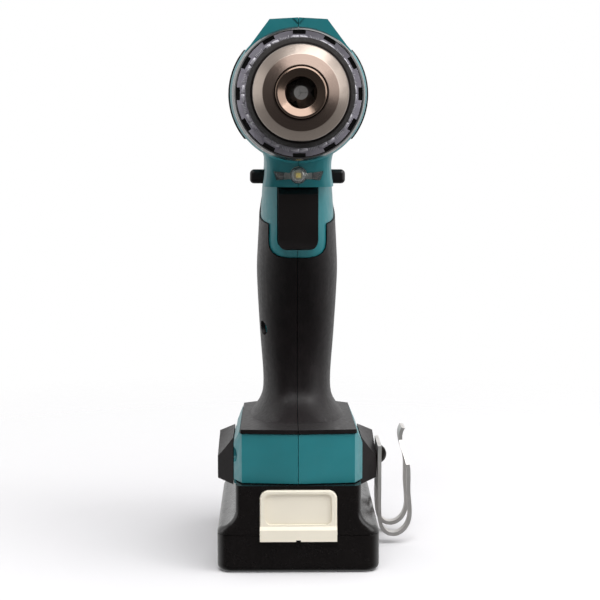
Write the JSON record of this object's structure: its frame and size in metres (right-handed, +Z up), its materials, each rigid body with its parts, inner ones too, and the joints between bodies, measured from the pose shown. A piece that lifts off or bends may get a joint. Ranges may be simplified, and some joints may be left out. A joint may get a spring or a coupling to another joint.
{
  "type": "cordless drill driver",
  "caption": "Cordless drill driver with keyless chuck, torque ring, work lamp, trigger, slide-on battery and belt hook.",
  "frame": {"origin": "centre of the battery's underside, on the surface it stands on", "axes": "+Z up, -Y the way the chuck points, +X towards the belt hook"},
  "size_m": [0.0788, 0.1896, 0.2108],
  "materials": {
    "housing": "fine satin texture",
    "soft_grip": "matt elastomer",
    "zinc_steel": "zinc plated",
    "cast_alloy": "die cast",
    "trigger_plastic": "satin",
    "spring_steel": "drawn wire",
    "switch_plastic": "moulded",
    "lever_plastic": "satin",
    "lens": "clear, moulded",
    "lamp": "light emitting diode on a white board",
    "hook_steel": "bright nickel plated",
    "dark_steel": "black oxide",
    "copper": "bare and enamelled copper",
    "lead_black": "insulated wire",
    "gear_steel": "sintered and greased",
    "gear_plastic": "glass filled",
    "ball_steel": "ground",
    "ring_plastic": "glossy",
    "chuck_steel": "turned and darkened",
    "sleeve_plastic": "ribbed",
    "cap_nickel": "turned, satin nickel",
    "jaw_steel": "ground",
    "motor_zinc": "zinc plated",
    "magnet": "ferrite",
    "core_steel": "laminated",
    "fan_plastic": "moulded",
    "carbon": "pressed carbon",
    "battery_plastic": "fine satin texture",
    "button_plastic": "smooth",
    "cell_wrap": "shrink wrap",
    "board": "printed board"
  },
  "bodies": {
    "housing": {"housing_left": "housing", "housing_right": "housing", "overmould_left": "soft_grip", "overmould_right": "soft_grip", "housing_screws": "zinc_steel", "gear_case": "cast_alloy", "first_ring_gear": "gear_plastic", "clutch_ring_gear": "gear_steel", "clutch_balls": "ball_steel", "clutch_spring": "spring_steel", "spindle_bearings": "ball_steel", "motor_can": "motor_zinc", "motor_magnets": "magnet", "brush_plate": "switch_plastic", "carbon_brushes": "carbon", "switch_body": "switch_plastic", "trigger_spring": "spring_steel", "lamp_lens": "lens", "lamp_board": "lamp", "terminal_block": "switch_plastic", "belt_hook": "hook_steel", "hook_screw": "dark_steel", "power_leads": "lead_black"},
    "spindle": {"spindle": "gear_steel", "chuck_body": "chuck_steel", "chuck_screw": "dark_steel"},
    "middle_stage": {"first_carrier": "gear_steel", "second_planets": "gear_steel", "second_carrier": "gear_steel"},
    "shift_ring": {"shift_ring_gear": "gear_steel"},
    "rotor": {"motor_pinion": "gear_steel", "motor_shaft": "ball_steel", "armature": "core_steel", "motor_windings": "copper", "cooling_fan": "fan_plastic"},
    "chuck_sleeve": {"chuck_sleeve": "sleeve_plastic", "chuck_cap": "cap_nickel", "chuck_nut": "gear_steel"},
    "torque_ring": {"torque_ring": "ring_plastic"},
    "clutch_nut": {"clutch_nut": "switch_plastic"},
    "trigger": {"trigger": "trigger_plastic"},
    "direction_lever": {"direction_lever": "lever_plastic"},
    "speed_selector": {"speed_selector": "lever_plastic", "selector_fork": "spring_steel"},
    "battery": {"battery_lower_case": "battery_plastic", "battery_upper_case": "battery_plastic", "button_springs": "spring_steel", "battery_cells": "cell_wrap", "battery_board": "board", "battery_screws": "dark_steel"},
    "battery_button": {"battery_button": "button_plastic"},
    "first_planet_1": {"first_planet_1": "gear_steel"},
    "first_planet_2": {"first_planet_2": "gear_steel"},
    "first_planet_3": {"first_planet_3": "gear_steel"},
    "third_planet_1": {"third_planet_1": "gear_steel"},
    "third_planet_2": {"third_planet_2": "gear_steel"},
    "third_planet_3": {"third_planet_3": "gear_steel"},
    "chuck_jaw_1": {"chuck_jaw_1": "jaw_steel"},
    "chuck_jaw_2": {"chuck_jaw_2": "jaw_steel"},
    "chuck_jaw_3": {"chuck_jaw_3": "jaw_steel"}
  },
  "joints": [
    {"name": "spindle_spin", "type": "hinge", "parent": "housing", "child": "spindle", "pos_m": [0, -0.05, 0.1815], "axis": [0, 1, 0], "continuous": true},
    {"name": "middle_stage_spin", "type": "hinge", "parent": "housing", "child": "middle_stage", "pos_m": [0, -0.025, 0.1815], "axis": [0, 1, 0], "continuous": true},
    {"name": "motor_spin", "type": "hinge", "parent": "housing", "child": "rotor", "pos_m": [0, 0.02, 0.1815], "axis": [0, 1, 0], "continuous": true},
    {"name": "shift_ring_slide", "type": "slide", "parent": "middle_stage", "child": "shift_ring", "axis": [0, -1, 0], "range_m": [0, 0.004]},
    {"name": "speed_slide", "type": "slide", "parent": "housing", "child": "speed_selector", "axis": [0, -1, 0], "range_m": [0, 0.004]},
    {"name": "sleeve_turn", "type": "hinge", "parent": "spindle", "child": "chuck_sleeve", "pos_m": [0, -0.09, 0.1815], "axis": [0, -1, 0], "range_deg": [0, 1801]},
    {"name": "torque_ring_turn", "type": "hinge", "parent": "housing", "child": "torque_ring", "pos_m": [0, -0.056, 0.1815], "axis": [0, -1, 0], "range_deg": [0, 270.1]},
    {"name": "clutch_nut_slide", "type": "slide", "parent": "housing", "child": "clutch_nut", "axis": [0, 1, 0], "range_m": [0, 0.0026], "deforming": ["clutch_spring"]},
    {"name": "trigger_pull", "type": "slide", "parent": "housing", "child": "trigger", "axis": [0, 1, 0], "range_m": [0, 0.006], "stiffness_N_per_m": 900, "springref_m": -0.003, "deforming": ["trigger_spring"]},
    {"name": "direction_slide", "type": "slide", "parent": "housing", "child": "direction_lever", "axis": [1, 0, 0], "range_m": [-0.0035, 0.0035]},
    {"name": "battery_slide", "type": "slide", "parent": "housing", "child": "battery", "axis": [0, -1, 0], "range_m": [0, 0.055]},
    {"name": "button_press", "type": "slide", "parent": "battery", "child": "battery_button", "axis": [0, 0, -1], "range_m": [0, 0.0028], "stiffness_N_per_m": 900, "springref_m": -0.002, "deforming": ["button_springs"]},
    {"name": "first_planet_1_spin", "type": "hinge", "parent": "middle_stage", "child": "first_planet_1", "pos_m": [0, -0.0123, 0.192], "axis": [0, 1, 0], "continuous": true},
    {"name": "first_planet_2_spin", "type": "hinge", "parent": "middle_stage", "child": "first_planet_2", "pos_m": [-0.00909, -0.0123, 0.17625], "axis": [0, 1, 0], "continuous": true},
    {"name": "first_planet_3_spin", "type": "hinge", "parent": "middle_stage", "child": "first_planet_3", "pos_m": [0.00909, -0.0123, 0.17625], "axis": [0, 1, 0], "continuous": true},
    {"name": "third_planet_1_spin", "type": "hinge", "parent": "spindle", "child": "third_planet_1", "pos_m": [0, -0.0367, 0.19305], "axis": [0, 1, 0], "continuous": true},
    {"name": "third_planet_2_spin", "type": "hinge", "parent": "spindle", "child": "third_planet_2", "pos_m": [-0.01, -0.0367, 0.17572], "axis": [0, 1, 0], "continuous": true},
    {"name": "third_planet_3_spin", "type": "hinge", "parent": "spindle", "child": "third_planet_3", "pos_m": [0.01, -0.0367, 0.17572], "axis": [0, 1, 0], "continuous": true},
    {"name": "jaw_1_slide", "type": "slide", "parent": "spindle", "child": "chuck_jaw_1", "axis": [0.1294, 0.9659, 0.2241], "range_m": [0, 0.0182]},
    {"name": "jaw_2_slide", "type": "slide", "parent": "spindle", "child": "chuck_jaw_2", "axis": [-0.2588, 0.9659, 0], "range_m": [0, 0.0182]},
    {"name": "jaw_3_slide", "type": "slide", "parent": "spindle", "child": "chuck_jaw_3", "axis": [0.1294, 0.9659, -0.2241], "range_m": [0, 0.0182]}
  ],
  "couplings": [
    {"joint": "middle_stage_spin", "follows": "spindle_spin", "ratio": 3.6667},
    {"joint": "motor_spin", "follows": "spindle_spin", "ratio": 18.333},
    {"joint": "shift_ring_slide", "follows": "speed_slide", "ratio": 1},
    {"joint": "torque_ring_turn", "follows": "clutch_nut_slide", "rad_per_m": 1812.5},
    {"joint": "first_planet_1_spin", "follows": "spindle_spin", "ratio": -9.7778},
    {"joint": "first_planet_2_spin", "follows": "spindle_spin", "ratio": -9.7778},
    {"joint": "first_planet_3_spin", "follows": "spindle_spin", "ratio": -9.7778},
    {"joint": "third_planet_1_spin", "follows": "spindle_spin", "ratio": -3.2},
    {"joint": "third_planet_2_spin", "follows": "spindle_spin", "ratio": -3.2},
    {"joint": "third_planet_3_spin", "follows": "spindle_spin", "ratio": -3.2},
    {"joint": "jaw_2_slide", "follows": "jaw_1_slide", "ratio": 1},
    {"joint": "jaw_3_slide", "follows": "jaw_1_slide", "ratio": 1},
    {"joint": "sleeve_turn", "follows": "jaw_1_slide", "rad_per_m": 1726.1}
  ]
}
